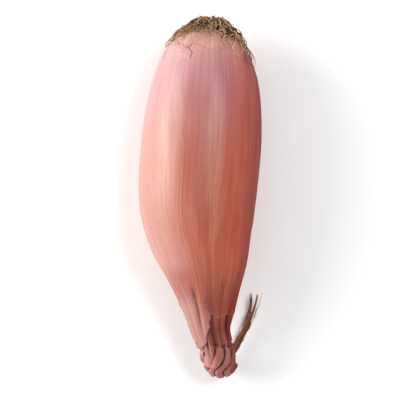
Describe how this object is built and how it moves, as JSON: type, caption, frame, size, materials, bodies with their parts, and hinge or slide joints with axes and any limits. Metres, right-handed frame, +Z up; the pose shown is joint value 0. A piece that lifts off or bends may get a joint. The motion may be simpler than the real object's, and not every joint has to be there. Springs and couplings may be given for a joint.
{
  "type": "pink shallot",
  "caption": "Long pink shallot lying on its side, with papery skin, a matted tuft of dry roots and a dry neck that curls under into frayed leaf ends.",
  "frame": {"origin": "on the surface that the shallot rests on, under the middle of its bounding box", "axes": "+Y along the shallot towards its roots, +Z up, +X to the side that the dry leaf ends return on"},
  "size_m": [0.0398, 0.1172, 0.0343],
  "materials": {
    "skin": "satin",
    "roots": "matte",
    "dry_leaf": "matte"
  },
  "bodies": {
    "root": {"bulb": "skin", "root_tuft": "roots", "leaf_strips": "dry_leaf"}
  },
  "joints": []
}
